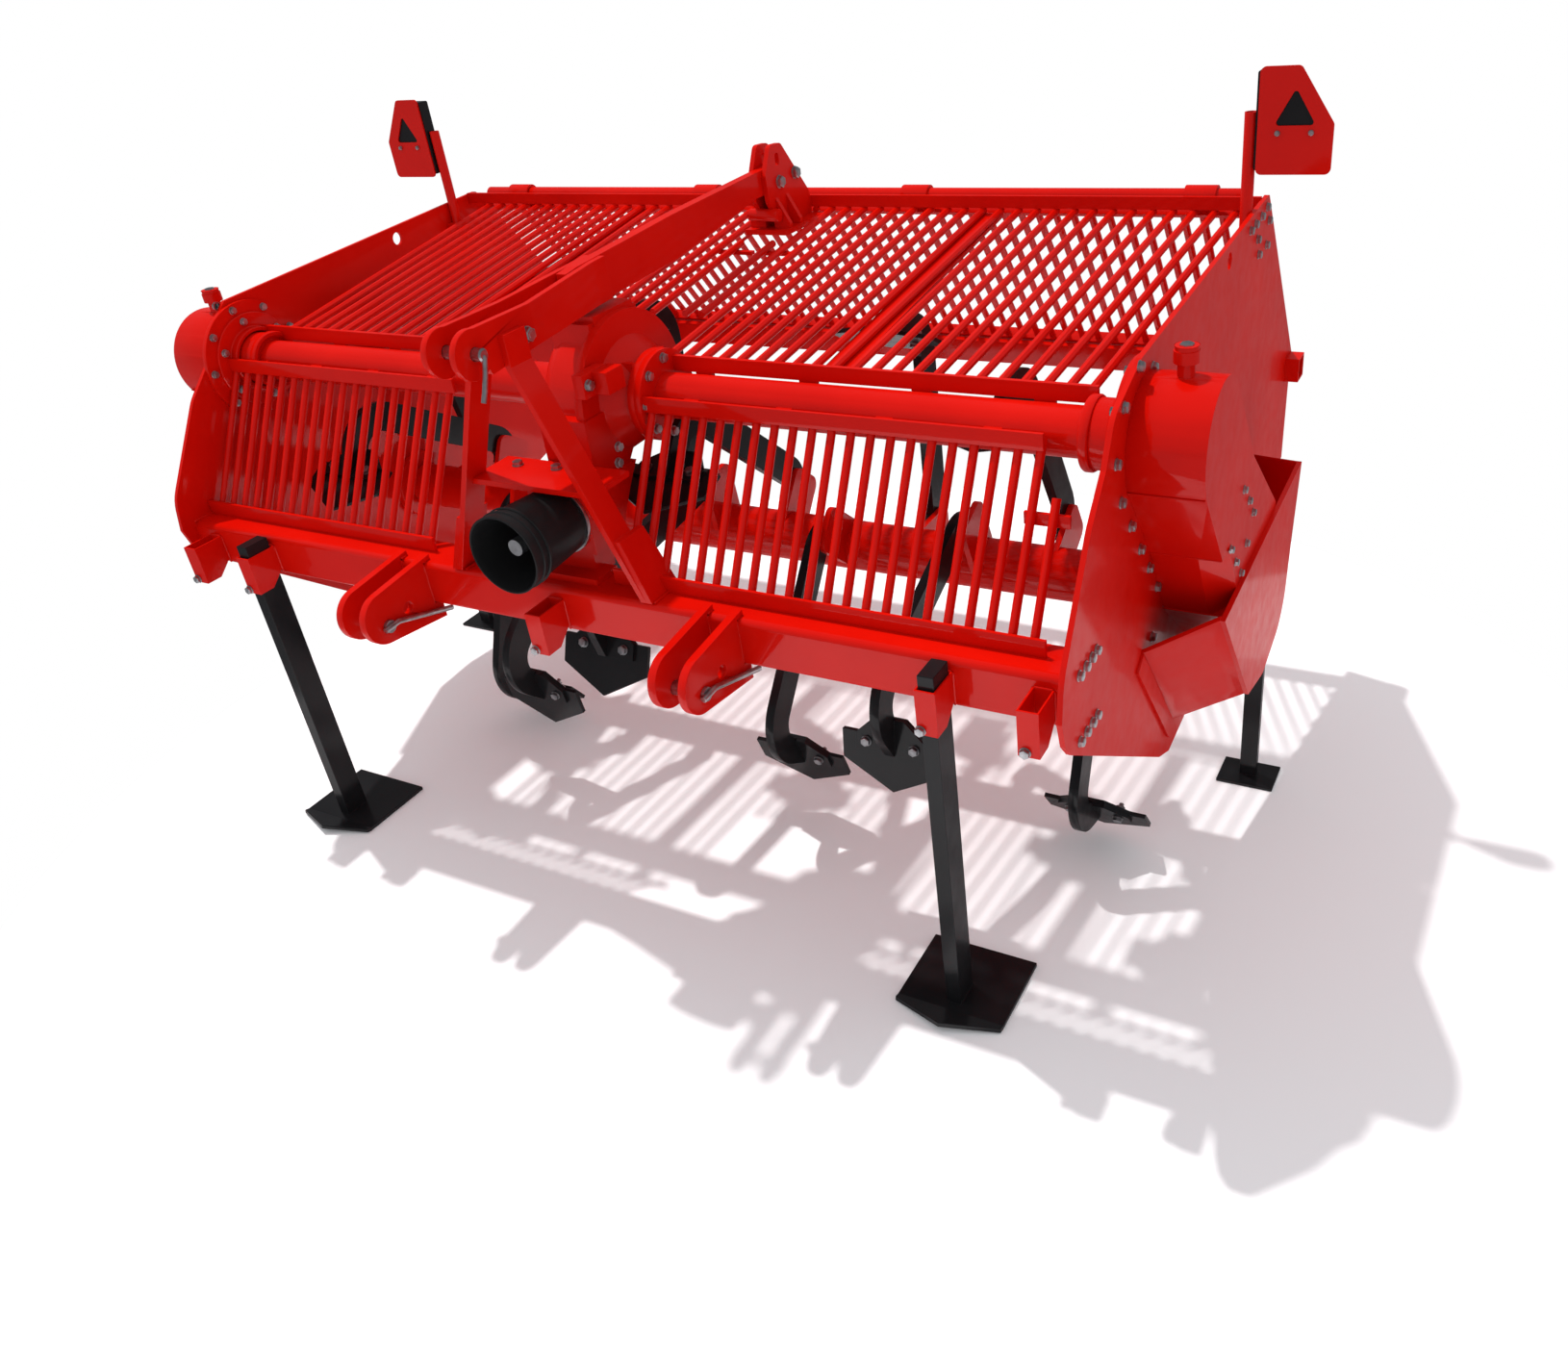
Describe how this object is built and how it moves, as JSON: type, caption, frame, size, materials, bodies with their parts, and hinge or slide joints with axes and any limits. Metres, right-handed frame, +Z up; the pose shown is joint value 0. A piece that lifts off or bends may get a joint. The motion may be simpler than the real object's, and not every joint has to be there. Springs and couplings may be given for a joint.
{
  "type": "spading machine",
  "caption": "Tractor-mounted spading machine with an open grille body, drop arms with flat spades on a cross rotor, and stand legs.",
  "frame": {"origin": "centre of the whole machine's outline, at the level of the stand feet", "axes": "+X across the machine to its right as seen from the tractor's side of the picture, +Y towards the rear, +Z up"},
  "size_m": [2.645, 1.785, 1.591],
  "materials": {
    "red_paint": "glossy bright red paint",
    "black_paint": "glossy black paint",
    "grey_steel": "plated steel",
    "black_plastic": "ribbed black plastic"
  },
  "bodies": {
    "frame": {"cross_tube_left": "red_paint", "cross_tube_right": "red_paint", "front_beam": "red_paint", "front_grille_left": "red_paint", "front_grille_right": "red_paint", "gearbox": "red_paint", "guard_left": "red_paint", "guard_right": "red_paint", "headstock_beam": "red_paint", "headstock_brace_left": "red_paint", "headstock_brace_right": "red_paint", "headstock_shelf": "red_paint", "hitch_pins": "grey_steel", "hitch_plates_left": "red_paint", "hitch_plates_right": "red_paint", "leg_sockets": "red_paint", "pto_guard": "black_plastic", "pto_guard_ring": "grey_steel", "rear_beam": "red_paint", "rear_leg_socket_left": "red_paint", "rear_leg_socket_right": "red_paint", "rear_tube": "red_paint", "reflector_backings": "black_paint", "reflector_boards": "red_paint", "reflector_posts": "red_paint", "rotor_bearings": "red_paint", "side_case_left": "red_paint", "side_case_right": "red_paint", "side_plate_left": "red_paint", "side_plate_right": "red_paint", "top_grille_left": "red_paint", "top_grille_right": "red_paint", "top_link_arm_left": "red_paint", "top_link_arm_right": "red_paint", "top_link_pin": "grey_steel", "top_link_spacer": "red_paint", "tower": "red_paint"},
    "rotor": {"rotor_tube": "red_paint", "rotor_brackets": "red_paint", "spade_arms": "black_paint", "spades": "black_paint"},
    "input_shaft": {"input_shaft": "grey_steel"},
    "rear_hood": {"rear_hood": "red_paint"},
    "front_leg_right": {"front_leg_right": "black_paint"},
    "front_leg_left": {"front_leg_left": "black_paint"},
    "rear_leg_right": {"rear_leg_right": "black_paint"},
    "rear_leg_left": {"rear_leg_left": "black_paint"}
  },
  "joints": [
    {"name": "rotor_spin", "type": "hinge", "parent": "frame", "child": "rotor", "pos_m": [0, 0.0055, 0.6], "axis": [1, 0, 0], "continuous": true},
    {"name": "input_shaft_spin", "type": "hinge", "parent": "frame", "child": "input_shaft", "pos_m": [0, -0.6995, 0.925], "axis": [0, 1, 0], "continuous": true},
    {"name": "rear_hood_hinge", "type": "hinge", "parent": "frame", "child": "rear_hood", "pos_m": [0, 0.5145, 1.31], "axis": [1, 0, 0], "range_deg": [0, 100]},
    {"name": "front_leg_right_slide", "type": "slide", "parent": "frame", "child": "front_leg_right", "axis": [0, 0, 1], "range_m": [0, 0.62]},
    {"name": "front_leg_left_slide", "type": "slide", "parent": "frame", "child": "front_leg_left", "axis": [0, 0, 1], "range_m": [0, 0.62]},
    {"name": "rear_leg_right_slide", "type": "slide", "parent": "frame", "child": "rear_leg_right", "axis": [0, 0, 1], "range_m": [0, 0.4]},
    {"name": "rear_leg_left_slide", "type": "slide", "parent": "frame", "child": "rear_leg_left", "axis": [0, 0, 1], "range_m": [0, 0.4]}
  ]
}
